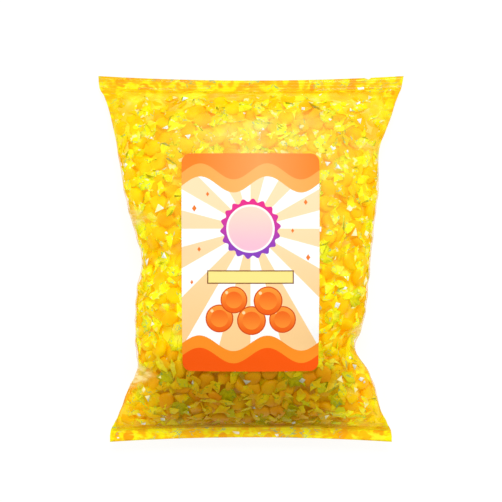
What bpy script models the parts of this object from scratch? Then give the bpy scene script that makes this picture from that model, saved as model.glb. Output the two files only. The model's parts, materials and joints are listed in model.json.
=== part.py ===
"""A sealed pillow bag of wrapped butterscotch candies, lying on its back, with a paper label on its front.

Metres, +Z up. The bag rests on the plane Z = 0 with its front face up and its top seal towards +Y.
The origin is under the middle of the bag.
"""

import math

import bmesh
import bpy
import numpy as np

# Driving dimensions
HALF_LENGTH = 0.185  # from the middle to the end of either seal, at the corners
SEAL_HEIGHT = 0.012  # heat-sealed strip across each end
SEAL_THICKNESS = 0.0012
END_SAG = 0.0046  # how far the middle of each end is drawn in by the filling

# The bag's two sides seen from the front, as (Y, X), drawn in where the film is pinched
LEFT_SIDE = (
    (-0.1850, -0.1420), (-0.1740, -0.1416), (-0.1623, -0.1353), (-0.1318, -0.1233), (-0.1117, -0.1130),
    (-0.0917, -0.1146), (-0.0217, -0.1122), (0.0008, -0.1080), (0.0283, -0.1169), (0.0584, -0.1249),
    (0.1394, -0.1410), (0.1621, -0.1478), (0.1716, -0.1535), (0.1850, -0.1550),
)
RIGHT_SIDE = (
    (-0.1850, 0.1418), (-0.1740, 0.1412), (-0.1623, 0.1345), (-0.1318, 0.1249), (-0.1067, 0.1140),
    (-0.0892, 0.1020), (-0.0727, 0.1095), (-0.0217, 0.1172), (0.0283, 0.1226), (0.0785, 0.1283),
    (0.1119, 0.1294), (0.1394, 0.1406), (0.1621, 0.1478), (0.1716, 0.1523), (0.1850, 0.1550),
)

# How the filling swells the bag: it is fullest below the middle, where the candies have settled
FULLEST_Y = -0.048
RISE_ABOVE_EDGE = 0.060  # front face above the side edge, where the bag is fullest
DROP_BELOW_EDGE = 0.060  # back face below it, if the floor did not flatten it
EDGE_HEIGHT = 0.042  # side edge above the floor, where the bag is fullest
TOP_SEAL_HEIGHT = 0.010  # the slack top end droops nearly to the floor
BOTTOM_SEAL_HEIGHT = 0.026
TOP_TAPER = (1.75, 0.80)  # powers of the fullness towards the top seal
BOTTOM_TAPER = (2.7, 0.56)  # and towards the bottom seal
CORNER_FLATNESS = 1.0  # how much the film flattens into ears beside the seals

# Candies pressing on the film
LUMP_PITCH = 0.0165
LUMP_RADIUS = 0.0080
LUMP_HEIGHT = 0.0022
LUMP_SHARE_UNDER_LABEL = 0.25
LUMP_SEED = 7

# Pinches in the film's sides: Y, side (-1 left, 1 right), share of the thickness lost, reach inwards
PINCHES = (
    (0.0008, -1, 0.34, 0.030),
    (-0.1117, -1, 0.30, 0.028),
    (-0.0892, 1, 0.40, 0.030),
    (0.1119, 1, 0.26, 0.030),
)
PINCH_HALF_WIDTH = 0.011

# Soft folds that run in from the corners: start X, start Y, end X, end Y, height
FOLDS = (
    (-0.140, 0.168, -0.078, 0.118, 0.0034),
    (-0.096, 0.170, -0.066, 0.132, 0.0026),
    (0.142, 0.166, 0.080, 0.120, 0.0036),
    (0.100, 0.171, 0.058, 0.136, 0.0024),
    (-0.128, -0.164, -0.086, -0.112, 0.0034),
    (0.126, -0.164, 0.084, -0.116, 0.0034),
    (-0.040, -0.168, -0.030, -0.138, 0.0022),
    (0.044, -0.168, 0.036, -0.140, 0.0022),
)
FOLD_HALF_WIDTH = 0.0065

# The label, a sheet of paper with rounded corners stuck on the front
LABEL_WIDTHS = (0.1320, 0.1360)  # at its lower and its upper end
LABEL_LENGTH = 0.2130
LABEL_CENTRE = (-0.0005, -0.0030)
LABEL_CORNER_RADIUS = 0.0085
LABEL_THICKNESS = 0.00035
LABEL_GAP = 0.0003
LABEL_PRISM = (0.045, 0.160)  # its cutter's lowest and highest Z

# Mesh density
COLUMNS = 46
ROWS = 56
SEAL_ROWS = 2


def clear_scene():
    for obj in list(bpy.data.objects):
        bpy.data.objects.remove(obj, do_unlink=True)


def new_collection(name):
    collection = bpy.data.collections.new(name)
    bpy.context.scene.collection.children.link(collection)
    return collection


def material(name, colour, roughness, metallic=0.0):
    made = bpy.data.materials.new(name)
    made.use_nodes = True
    surface = made.node_tree.nodes["Principled BSDF"]
    surface.inputs["Base Color"].default_value = (*colour, 1.0)
    surface.inputs["Roughness"].default_value = roughness
    surface.inputs["Metallic"].default_value = metallic
    return made


def smooth_line(points, at):
    """A smooth curve through (position, value) points, read at the given positions."""
    where, value = np.array(points).T
    slope = np.gradient(value, where)
    span = np.clip(np.searchsorted(where, at) - 1, 0, len(where) - 2)
    width = where[span + 1] - where[span]
    t = np.clip((at - where[span]) / width, 0.0, 1.0)
    start = (1 + 2 * t) * (1 - t) ** 2 * value[span] + t * (1 - t) ** 2 * width * slope[span]
    end = t**2 * (3 - 2 * t) * value[span + 1] + t**2 * (t - 1) * width * slope[span + 1]
    return start + end


def smooth_step(low, high, at):
    t = np.clip((at - low) / (high - low), 0.0, 1.0)
    return t * t * (3 - 2 * t)


def row_position(t):
    """Even rows from -1 to 1, drawn towards the ends, with SEAL_ROWS of them across each seal."""
    seal_share = 1 - SEAL_HEIGHT / HALF_LENGTH
    seal_start = 1 - 2 * SEAL_ROWS / ROWS
    inner = t / seal_start
    inside = seal_share * (0.55 * inner + 0.45 * np.sin(inner * math.pi / 2))
    in_seal = seal_share + (np.abs(t) - seal_start) / (1 - seal_start) * (1 - seal_share)
    return np.where(np.abs(t) > seal_start + 1e-6, np.sign(t) * in_seal, inside)


def fullness(y):
    """How far the bag is swollen at each Y: 0 at the seals and 1 at its fullest."""
    inner_end = HALF_LENGTH - SEAL_HEIGHT
    up = np.clip((y - FULLEST_Y) / (inner_end - FULLEST_Y), 0.0, 1.0)
    down = np.clip((FULLEST_Y - y) / (inner_end + FULLEST_Y), 0.0, 1.0)
    above = (1 - up ** TOP_TAPER[0]) ** TOP_TAPER[1]
    below = (1 - down ** BOTTOM_TAPER[0]) ** BOTTOM_TAPER[1]
    return np.where(y > FULLEST_Y, above, below)


def edge_height(y, full):
    """Height of the side edge and of the seals above the floor."""
    seal = np.where(y > FULLEST_Y, TOP_SEAL_HEIGHT, BOTTOM_SEAL_HEIGHT)
    return seal + (EDGE_HEIGHT - seal) * full**0.8


def pinch_share(x, y, left, right):
    """The share of the thickness that stays where the sides are pinched."""
    kept = np.ones_like(x)
    for pinch_y, side, depth, reach in PINCHES:
        inwards = x - left if side < 0 else right - x
        near = np.exp(-(((y - pinch_y) / PINCH_HALF_WIDTH) ** 2))
        kept *= 1 - depth * near * np.exp(-((inwards / reach) ** 2))
    return kept


def fold_height(x, y):
    """Soft ridges that fade out along their length."""
    height = np.zeros_like(x)
    for x0, y0, x1, y1, rise in FOLDS:
        length = math.hypot(x1 - x0, y1 - y0)
        along = ((x - x0) * (x1 - x0) + (y - y0) * (y1 - y0)) / length
        across = ((x - x0) * (y1 - y0) - (y - y0) * (x1 - x0)) / length
        fade_in = smooth_step(-0.15 * length, 0.2 * length, along)
        fade_out = 1 - smooth_step(0.5 * length, length, along)
        height += rise * fade_in * fade_out * np.exp(-((across / FOLD_HALF_WIDTH) ** 2))
    return height


def inside_label(x, y):
    """1 under the label, fading to 0 just outside it."""
    margin = 0.012
    across = np.abs(x - LABEL_CENTRE[0]) - max(LABEL_WIDTHS) / 2
    along = np.abs(y - LABEL_CENTRE[1]) - LABEL_LENGTH / 2
    return 1 - smooth_step(0.0, margin, np.maximum(across, along))


def lump_height(x, y, side):
    """Rounded bumps, one for each candy that presses on the film, on a jittered grid."""
    draw = np.random.default_rng(LUMP_SEED + side)
    columns, rows = int(0.32 / LUMP_PITCH), int(0.36 / LUMP_PITCH)
    grid_x, grid_y = np.meshgrid(np.arange(columns) - (columns - 1) / 2, np.arange(rows) - (rows - 1) / 2)
    grid_x = grid_x + 0.5 * (np.arange(rows) % 2)[:, None]
    centre_x = (grid_x + draw.uniform(-0.32, 0.32, grid_x.shape)).ravel() * LUMP_PITCH
    centre_y = (grid_y + draw.uniform(-0.32, 0.32, grid_y.shape)).ravel() * LUMP_PITCH
    rise = draw.uniform(0.35, 1.0, centre_x.shape) * LUMP_HEIGHT
    distance = (x[:, None] - centre_x) ** 2 + (y[:, None] - centre_y) ** 2
    return (rise * np.exp(-distance / LUMP_RADIUS**2)).max(axis=1)


def pillow(points):
    """Moves the points of a flat slab, from -1 to 1 each way, to the filled bag's surface."""
    across = np.sin(points[:, 0] * math.pi / 2)
    along = row_position(points[:, 1])
    face = np.sign(points[:, 2])
    end = 1 - smooth_step(0.0, 0.35, 1 - np.abs(along))
    y = along * HALF_LENGTH - np.sign(along) * END_SAG * end * (1 - across**2)
    level = along * HALF_LENGTH
    left, right = smooth_line(LEFT_SIDE, level), smooth_line(RIGHT_SIDE, level)
    x = (left + right) / 2 + across * (right - left) / 2

    full = fullness(level)
    power = 1 + CORNER_FLATNESS * (1 - smooth_step(0.0, 0.75, full))
    section = np.cos(points[:, 0] * math.pi / 2).clip(0.0) ** power
    swell = full * section * pinch_share(x, y, left, right)
    soft = smooth_step(0.02, 0.25, swell)
    middle = edge_height(level, full)

    under_label = inside_label(x, y)
    lumps = np.where(face > 0, lump_height(x, y, 1), lump_height(x, y, 0)) * soft
    front = RISE_ABOVE_EDGE * swell + fold_height(x, y) * soft
    front += lumps * (1 - (1 - LUMP_SHARE_UNDER_LABEL) * under_label)
    back = DROP_BELOW_EDGE * swell + lumps
    z = middle + np.where(face > 0, front + SEAL_THICKNESS / 2, -back - SEAL_THICKNESS / 2)
    return np.column_stack((x, y, np.maximum(z, 0.0)))


def bag_mesh():
    """A cube, subdivided into a slab and swollen into the bag."""
    shape = bmesh.new()
    bmesh.ops.create_cube(shape, size=2.0)
    for axis, cuts in ((0, COLUMNS - 1), (1, ROWS - 1)):
        edges = [
            edge for edge in shape.edges
            if abs(edge.verts[0].co[axis] - edge.verts[1].co[axis]) > 1.0
        ]
        bmesh.ops.subdivide_edges(shape, edges=edges, cuts=cuts, use_grid_fill=True)
    moved = pillow(np.array([vertex.co for vertex in shape.verts]))
    for vertex, place in zip(shape.verts, moved):
        vertex.co = place
    bmesh.ops.triangulate(shape, faces=shape.faces)
    bmesh.ops.recalc_face_normals(shape, faces=shape.faces)
    mesh = bpy.data.meshes.new("bag")
    shape.to_mesh(mesh)
    shape.free()
    mesh.shade_smooth()
    return mesh


def add_bag(collection):
    bag = bpy.data.objects.new("bag", bag_mesh())
    bag.data.materials.append(material("butterscotch in clear film", (0.95, 0.60, 0.04), 0.30))
    collection.objects.link(bag)
    return bag


def add_cutter(collection, name, mesh, rise):
    """The bag's own shape, raised, to cut the label to the front's form."""
    cutter = bpy.data.objects.new(name, mesh)
    cutter.location.z = rise
    cutter.hide_render = True
    cutter.display_type = "WIRE"
    collection.objects.link(cutter)
    return cutter


def label_prism():
    """An upright block with the label's rounded outline."""
    low, high = LABEL_PRISM
    shape = bmesh.new()
    bmesh.ops.create_cube(shape, size=1.0)
    for width, sign in zip(LABEL_WIDTHS, (-1, 1)):
        end = [vertex for vertex in shape.verts if vertex.co.y * sign > 0]
        bmesh.ops.scale(shape, vec=(width, LABEL_LENGTH, high - low), verts=end)
    bmesh.ops.translate(shape, vec=(*LABEL_CENTRE, (low + high) / 2), verts=shape.verts)
    uprights = [
        edge for edge in shape.edges
        if abs(edge.verts[0].co.z - edge.verts[1].co.z) > (high - low) / 2
    ]
    bmesh.ops.bevel(
        shape, geom=uprights, offset=LABEL_CORNER_RADIUS, segments=6, profile=0.5, affect="EDGES"
    )
    mesh = bpy.data.meshes.new("label")
    shape.to_mesh(mesh)
    shape.free()
    return mesh


def add_label(collection, cutters, bag):
    label = bpy.data.objects.new("label", label_prism())
    label.data.materials.append(material("printed label paper", (1.0, 0.55, 0.22), 0.40))
    collection.objects.link(label)
    faces = (
        ("front of the paper", "INTERSECT", LABEL_GAP + LABEL_THICKNESS),
        ("back of the paper", "DIFFERENCE", LABEL_GAP),
    )
    for name, operation, rise in faces:
        cut = label.modifiers.new(name, "BOOLEAN")
        cut.operation = operation
        cut.object = add_cutter(cutters, name, bag.data, rise)
    return label


def main():
    clear_scene()
    parts = new_collection("bag of butterscotch candies")
    cutters = new_collection("cutters")
    bag = add_bag(parts)
    add_label(parts, cutters, bag)


main()
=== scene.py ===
"""A sealed bag of twist-wrapped butterscotch discs, lying on its back under soft studio light."""

import json
import math

import bmesh
import bpy
import numpy as np
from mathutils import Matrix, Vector
from mathutils.bvhtree import BVHTree
from mathutils.kdtree import KDTree

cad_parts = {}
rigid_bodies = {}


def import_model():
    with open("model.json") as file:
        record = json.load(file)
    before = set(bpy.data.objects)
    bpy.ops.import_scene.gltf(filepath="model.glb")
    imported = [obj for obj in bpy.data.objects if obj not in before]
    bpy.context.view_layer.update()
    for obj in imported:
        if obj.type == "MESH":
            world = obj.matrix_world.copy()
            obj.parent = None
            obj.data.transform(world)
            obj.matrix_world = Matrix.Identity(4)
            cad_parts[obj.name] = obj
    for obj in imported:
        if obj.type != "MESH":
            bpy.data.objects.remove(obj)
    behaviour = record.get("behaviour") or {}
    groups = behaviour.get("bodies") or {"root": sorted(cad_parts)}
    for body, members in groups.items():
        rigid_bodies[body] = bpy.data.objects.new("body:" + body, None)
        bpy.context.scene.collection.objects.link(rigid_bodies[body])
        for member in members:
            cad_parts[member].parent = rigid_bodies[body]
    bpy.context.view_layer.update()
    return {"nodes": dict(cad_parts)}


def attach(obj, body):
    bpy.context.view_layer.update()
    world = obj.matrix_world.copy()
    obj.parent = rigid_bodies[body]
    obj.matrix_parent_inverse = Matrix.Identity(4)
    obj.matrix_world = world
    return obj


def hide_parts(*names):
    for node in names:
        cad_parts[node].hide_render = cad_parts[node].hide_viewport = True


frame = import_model()

# The bag's film
FILM_EDGE = 0.0048  # longest edge of the film's mesh
SEAL_INNER_Y = 0.168  # beyond this the bag is only its two sealed layers
SLACK_END_Y = 0.150  # beyond this it thins out towards its seals
REST_HEIGHT = 0.0015  # below this the film lies flat on the floor
NEAR_FILM = 0.03  # further than this from the film nothing shows through it
BARE_RIM = (0.0020, 0.0100)  # thickness of the bag, from bare film to film over candies
BARE_SEAL = (0.0020, 0.0060)  # the same near the seals
BUMP_RADIUS = 0.0085  # of the film's swelling over a candy
BUMP_HEIGHT = 0.0013
BUMP_REACH = 0.0075  # from a candy's middle to the film that it raises
BUMP_FALL = 1.6  # how steeply the swelling falls off
# Where the painted shadow line of the crease above the lower seal runs
SEAL_CREASE_Y = -0.1690
SEAL_CREASE_WIDTH = 0.0012
SEAL_CREASE_HALF_LENGTH = 0.135
CRIMP = 0.0030  # from ridge to ridge across a seal
CRIMPED_FROM = (0.171, 0.173)  # along the bag, from smooth to fully crimped
PINCHES = (  # each slack fold's place along the bag, side, half length, half height and strength
    (0.0405, -1, 0.016, 0.026, 1.00),
    (-0.1165, -1, 0.018, 0.024, 1.20),
    (-0.0715, 1, 0.015, 0.024, 0.85),
    (0.1119, 1, 0.012, 0.012, 0.50),
)
PINCH_LIFT = 0.010  # of a slack fold's middle, above the bag's widest line
GATHER_HEIGHT = 0.0008  # of the small pleats near the seals
GATHERS_START = (0.125, 0.158)  # along the bag, from no pleats to full ones
GATHERS_END = (0.161, 0.169)  # and back to none
WIDE_PLEATS = 310  # pleats in radians a metre, and how often they wander
WIDE_WANDER = 41
FINE_PLEATS = 523
FINE_WANDER = 67
SEAM_HALF_WIDTH = 0.0065  # of the lap seam down the back
SEAM_EDGE = 0.0007  # width of the line at its edges

# The shade on the bag's steep lower end, each pair from where it starts to where it is full
SHADE_ALONG = (-0.080, -0.118)
SHADE_ACROSS = ((0.80, 0.116, 0.072), (0.20, 0.082, 0.030))  # each after its share
SHADE_MIDDLE_X = -0.004
SHADE_UP = (0.015, 0.026)
END_TINT = (0.50, 0.38, 0.01)

# A wrapped candy, its fans along X
DISC_RADIUS = 0.0086
DISC_HALF_HEIGHT = 0.0042
DISC_EDGE_HALF_HEIGHT = 0.0040
DISC_REACH = 0.0070  # along X, past the disc's last ring
FACE_ROUNDNESS = 0.6  # of the disc's faces, which are flat at 0 and an ellipse at 1
HOLLOW_REACH = 0.0030
HOLLOW_SHARE = 0.78  # of the disc's height that is left in the hollow of each face
NECK = 0.0100
FAN_TIP = 0.0195
FAN_HALF_WIDTH = 0.0106
FAN_SPREADS = (0.82, 1.18)  # each fan is this much wider or narrower
OPEN_FAN_TIP = 0.0168
WRAPPER_SIDES = 12
WRAPPER_RINGS = (  # each ring's distance from the middle, half width and half height
    (0.0000, DISC_RADIUS, DISC_HALF_HEIGHT),
    (0.0062, 0.0066, DISC_EDGE_HALF_HEIGHT),
    (0.0086, 0.0030, 0.0024),
    (NECK, 0.0015, 0.0011),
    (0.0140, 0.0070, 0.0006),
    (FAN_TIP, FAN_HALF_WIDTH, 0.0004),
)
OPEN_FAN_RINGS = (  # a fan that stands open like a flower, its last ring the hollow in its middle
    *WRAPPER_RINGS[:2],
    (0.0086, 0.0030, 0.0026),
    (NECK, 0.0016, 0.0014),
    (0.0136, 0.0060, 0.0052),
    (OPEN_FAN_TIP, 0.0092, 0.0082),
    (0.0128, 0.0020, 0.0018),
)
PLEATS = ((0.0026, 0.0011), (0.0061, 0.00088))  # half the pitch and the height of a fan's pleats
RAGGED_TIP = (0.0041, 0.0009)  # the same for the waves along its tip
FAN_CURVE = 0.0042  # how far a fan's tip falls back at its edges
FAN_TWIST = 0.9  # the most that a fan is twisted, in radians
TWIST_ALONG = (0.0082, 0.0125)  # from no twist to all of it
OPEN_FAN_FLATNESS = 0.88  # its height as a share of its width
OPEN_PLEAT_HEIGHT = 0.0012
OPEN_PLEAT_SPREAD = 0.09
OPEN_PLEATS_START = 0.0022  # from the fan's axis
OPEN_PLEATS_LENGTH = 0.0060
CANDY_VERSIONS = {"lying": 5, "upright": 2, "fan": 3}

# How the candies lie
SEED = 11
OUTER_SPACING = 0.0138
OUTER_TILT = 0.38  # how widely the outer sweets' tilts spread, in radians
INNER_SPACING = 0.0165
INNER_TILT = 0.8
INNER_DEPTH = 0.0165
MOST_TILT = 1.1
LOWEST_MIDDLE = 0.003  # of a sweet, above the floor
LAID_GAP = 0.0004  # between a sweet as it is laid and the film
LAID_ROOM = 0.0048  # the most depth that a sweet's middle needs
ON_EDGE_SHARE = 0.10  # of the sweets stand on edge
ON_EDGE_TILTS = (0.9, 1.5)
UPRIGHT_SPACING = 0.034
UPRIGHT_ROOM = 0.012  # all round the middle of a sweet that stands on end
UPRIGHT_GAP = 0.0022  # between its open fan and the film
UPRIGHT_FACE_DEPTH = 0.004  # under the film, where its open fan keeps other sweets off
CANDY_TRIALS = 24000  # random places on the film that are tried
UPRIGHT_TRIALS = 1500
FAN_TRIALS = 9000
FAN_SPACING = 0.0100  # of the fans that show in the gaps
FANS_END_Y = 0.1665
LOWEST_FAN = 0.002
FAN_CHANCES = (1.0, 0.15, 0.6)  # that a gap gets a fan: in a thin place, above or below, and at the sides
FAN_DIP = 0.25  # angle at which they run inwards
FAN_DEPTHS = (0.0010, 0.0030)  # of their middle under the film
THINNEST_FOR_FAN = 0.0032  # no fan lies where the bag is thinner than this
THIN_BAG = 0.014
GAP_DEPTH = 0.0055  # nothing stands nearer than this behind the film at a gap
EDGE_FAN_SPACING = 0.0075  # of the fans that reach into the bag's side edges
EDGE_FANS_END = 0.160
EDGE_FAN_LEAN = 0.5
EDGE_FAN_GAPS = (0.0004, 0.0012)  # between their tips and the film
SLICE = 0.003  # half the length of bag that is searched for its widest point
FILM_CLEARANCE = 0.0009
FAN_CLEARANCE = 0.0004
FAN_CLEARANCE_SPREAD = 0.0009
LEAST_CLEARANCE = 0.0001  # of the middle of a face
PRESSINGS = 8  # tries at pressing a candy in under the film
PRESSED_IN = {"upright": 0.0009, "lying": 0.0009, "fan": 0.0005}  # how far each try moves it
FAN_LIFTS = (-0.005, 0.002, 0.006, 0.010, 0.012)  # a flat sweet's fans are bent up by one of these
FAN_LOTS = {"upright": (0.72, 1.0), "lying": (0, 1), "fan": (-0.7, 0.98)}  # each fan's share of lemon
CONTENTS_GLOW = 0.24  # painted glow of the sweets, standing in for light that they pass on through one another
CORE_DEPTH = 0.0125  # of the filler behind the outer sweets
CORE_EDGE_DEPTH = 0.0012  # where the bag is thin
CORE_DEEPENS = (0.003, 0.020)  # half thickness of the bag at which its depth starts and stops growing
CORE_SCALE = (0.972, 0.94, 1)
CORE_MIDDLE = (0.0, -0.004, 0.0)
CORE_LEAST_HALF = 0.0003  # of its thickness at its edge
CORNER_COUNT = 270
CORNER_STYLES = ((0.9, 3), (0.7, 3), (0.55, 4), (1.0, 3), (0.8, 4), (0.28, 3), (0.22, 4))  # width and sides
CORNER_RADIUS = 0.0030
CORNER_TIP = 0.002  # points further out than this are pulled about
CORNER_SCALES = (0.5, 1.35)
CORNER_TIP_OVER = 0.3  # the most that one is tipped, as a slope
CORNER_THICKNESS = 0.0002
CORNER_DEPTH = 0.0007
CORNER_CLEARANCE = 0.0003
SLIVER_WIDTH = 0.4  # a scrap narrower than this is a green-grey sliver

# Each kind of candy's amber, gold and lemon, as they look on screen
CANDY_COLOURS = {
    "gold": ((238, 168, 0), (239, 200, 0), (242, 240, 14)),
    "lemon": ((239, 176, 0), (240, 208, 0), (244, 246, 22)),
    "deep": ((237, 168, 0), (239, 200, 0), (241, 232, 8)),
}

# The label
LABEL_WIDTHS = (0.1320, 0.1360)  # at its lower and its upper end
LABEL_LENGTH = 0.2130
LABEL_CENTRE = (-0.0005, -0.0030)
LABEL_CORNER = 0.0085
LABEL_THICKNESS = 0.00035
LABEL_LIFT = 0.0011  # above the film, before the paper is smoothed
LABEL_CELL = 0.0045
LABEL_MARGIN = 0.012  # candies lie this far in under the label's edge
UPPER_SIDE_Z = 0.05  # only the film above this is under the label
INK_STRENGTH = 0.97
# Its print, in mm from its middle: each round sweet's and each spark's place and size
PRINTED_ROUNDS = ((-30, -55, 13.5), (31, -56, 13.0), (1, -57, 14.0), (-16, -37, 13.0), (17, -38, 14.0))
PRINTED_SPARKS = (
    (-55, 52, 3.4),
    (-42, 66, 2.4),
    (54, 58, 2.8),
    (41, 30, 2.2),
    (-50, 12, 2.6),
    (56, 4, 3.2),
    (-57, -20, 2.2),
)
BADGE_CENTRE = (0, 32)
BADGE_RADIUS = 28
BADGE_RIM = 4.5
BADGE_LINE = 6.5
SCALLOPS = 18
SCALLOP_DEPTH = 1.6
RAYS = 12
PLATE_HEIGHT = -15
PLATE_SIZE = (42, 6.5)
PLATE_LINE = 1.1
WAVE_LENGTH = 66
UPPER_WAVE = 8.0
UPPER_BANDS = (  # each band's edge, then its colour at the sides and in the middle, where a painted sheen makes it lighter
    (75.5, (255, 170, 80), (255, 184, 108)),
    (88.5, (255, 131, 40), (255, 160, 88)),
)
LOWER_WAVE = 7.5
LOWER_BANDS = ((79, (255, 145, 34)), (91, (252, 88, 0)))  # each band's edge and colour

# The stage. The camera looks straight down on the bag
FLOOR_SIZE = 6.0
LIGHTS = (  # each light's name, place, size and power
    ("key light", (0.10, 1.15, 2.30), 0.8, 26.0),
    ("left fill", (-1.9, 0.40, 1.0), 1.1, 7.0),
    ("right fill", (1.9, 0.40, 1.0), 1.1, 7.0),
)
LIT_PLACE = (0, 0, 0.05)
WORLD_STRENGTH = 0.60
CAMERA_PLACE = (0.0, 0.00725, 1.9225)
CAMERA_LENS = 135.0
SENSOR_WIDTH = 36.0


# ---------------------------------------------------------------- shader expressions


class Signal:
    """One output socket. Arithmetic on it adds Math nodes."""

    def __init__(self, paint, socket):
        self.paint = paint
        self.socket = socket

    def _math(self, operation, *values):
        return self.paint.add("ShaderNodeMath", {"operation": operation}, dict(enumerate(values)))

    def __add__(self, other):
        return self._math("ADD", self, other)

    def __radd__(self, other):
        return self._math("ADD", other, self)

    def __sub__(self, other):
        return self._math("SUBTRACT", self, other)

    def __rsub__(self, other):
        return self._math("SUBTRACT", other, self)

    def __mul__(self, other):
        return self._math("MULTIPLY", self, other)

    def __rmul__(self, other):
        return self._math("MULTIPLY", other, self)

    def __truediv__(self, other):
        return self._math("DIVIDE", self, other)

    def __pow__(self, other):
        return self._math("POWER", self, other)

    def __gt__(self, other):
        return self._math("GREATER_THAN", self, other)

    def __lt__(self, other):
        return self._math("LESS_THAN", self, other)

    def __abs__(self):
        return self._math("ABSOLUTE", self)

    def sin(self):
        return self._math("SINE", self)

    def at_least(self, other):
        return self._math("MAXIMUM", self, other)

    def at_most(self, other):
        return self._math("MINIMUM", self, other)

    def clamp(self):
        return self.at_least(0.0).at_most(1.0)

    def step(self, low, high):
        """0 below low and 1 above high, smooth between them."""
        return self.paint.add(
            "ShaderNodeMapRange",
            {"interpolation_type": "SMOOTHSTEP"},
            {"Value": self, "From Min": low, "From Max": high, "To Min": 0.0, "To Max": 1.0},
        )


class Paint:
    """A new material and the nodes that make it."""

    def __init__(self, name):
        self.material = bpy.data.materials.new(name)
        self.material.use_nodes = True
        self.tree = self.material.node_tree
        self.tree.nodes.clear()
        self.output = self.tree.nodes.new("ShaderNodeOutputMaterial")

    def add(self, kind, settings=None, values=None, output=0):
        """Adds a node, its settings first and then its sockets' values or links, and gives one output."""
        node = self.tree.nodes.new(kind)
        for name, value in (settings or {}).items():
            if name == "stops":
                self._set_stops(node.color_ramp, value)
            else:
                setattr(node, name, value)
        for key, value in (values or {}).items():
            if isinstance(value, Signal):
                self.tree.links.new(value.socket, node.inputs[key])
            elif isinstance(value, tuple) and node.inputs[key].type == "RGBA" and len(value) == 3:
                node.inputs[key].default_value = (*value, 1.0)
            else:
                node.inputs[key].default_value = value
        return Signal(self, node.outputs[output])

    @staticmethod
    def _set_stops(ramp, stops):
        while len(ramp.elements) < len(stops):
            ramp.elements.new(1.0)
        for element, (place, colour) in zip(ramp.elements, stops):
            element.position = place
            element.color = (*colour, 1.0)

    def place(self):
        return self.add("ShaderNodeTexCoord", output="Object")

    def axes(self):
        split = self.add("ShaderNodeSeparateXYZ", values={0: self.place()})
        return [Signal(self, socket) for socket in split.socket.node.outputs]

    def attribute(self, name):
        return self.add("ShaderNodeAttribute", {"attribute_name": name}, output="Fac")

    def mix(self, share, first, second):
        """A colour, first where share is 0 and second where it is 1."""
        return self.add("ShaderNodeMix", {"data_type": "RGBA"}, {0: share, 6: first, 7: second}, output=2)

    def tinted(self, share, colour, tint):
        """A colour multiplied by a tint where share is 1."""
        settings = {"data_type": "RGBA", "blend_type": "MULTIPLY"}
        return self.add("ShaderNodeMix", settings, {0: share, 6: colour, 7: tint}, output=2)

    def ramp(self, share, *stops):
        return self.add("ShaderNodeValToRGB", {"stops": stops}, {0: share})

    def noise(self, scale, detail=2.0, vector=None, roughness=0.5):
        place = vector or self.place()
        values = {"Vector": place, "Scale": scale, "Detail": detail, "Roughness": roughness}
        return self.add("ShaderNodeTexNoise", values=values)

    def drift(self):
        """Broad soft patches that run on from piece to piece."""
        return self.noise(58.0, 1.5).step(0.30, 0.70)

    def cells(self, scale, output="Distance", vector=None, measure="EUCLIDEAN"):
        values = {"Vector": vector or self.place(), "Scale": scale}
        return self.add("ShaderNodeTexVoronoi", {"distance": measure}, values, output=output)

    def drawn_out(self, vector, scale, turn=(0.0, 0.0, 0.0)):
        """A place scaled along each axis and then turned."""
        return self.add("ShaderNodeMapping", values={"Vector": vector, "Rotation": turn, "Scale": scale})

    def shifted(self, vector, scale, amount):
        """A place moved about unevenly."""
        values = {"Vector": vector, "Scale": scale, "Detail": 1.0}
        wander = self.add("ShaderNodeTexNoise", values=values, output="Color")
        values = {0: wander, 1: (amount, amount, amount), 2: vector}
        return self.add("ShaderNodeVectorMath", {"operation": "MULTIPLY_ADD"}, values)

    def channel(self, colour):
        return self.add("ShaderNodeSeparateColor", values={0: colour})

    def bump(self, height, distance, strength):
        values = {"Height": height, "Distance": distance, "Strength": strength}
        return self.add("ShaderNodeBump", values=values)

    def surface(self, **values):
        """A Principled surface. Its sockets are named with underscores for spaces."""
        named = {name.replace("_", " "): value for name, value in values.items()}
        return self.add("ShaderNodeBsdfPrincipled", values=named)

    def finish(self, shader):
        self.tree.links.new(shader.socket, self.output.inputs["Surface"])
        return self.material


def srgb(red, green, blue):
    """A colour given as it looks on screen, 0 to 255, as linear light."""
    shares = (red / 255, green / 255, blue / 255)
    return tuple(c / 12.92 if c <= 0.04045 else ((c + 0.055) / 1.055) ** 2.4 for c in shares)


# A green-grey tint for painted glints on crinkled cellophane
GREEN_GLINT = srgb(126, 186, 150)


# ---------------------------------------------------------------- materials


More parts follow.
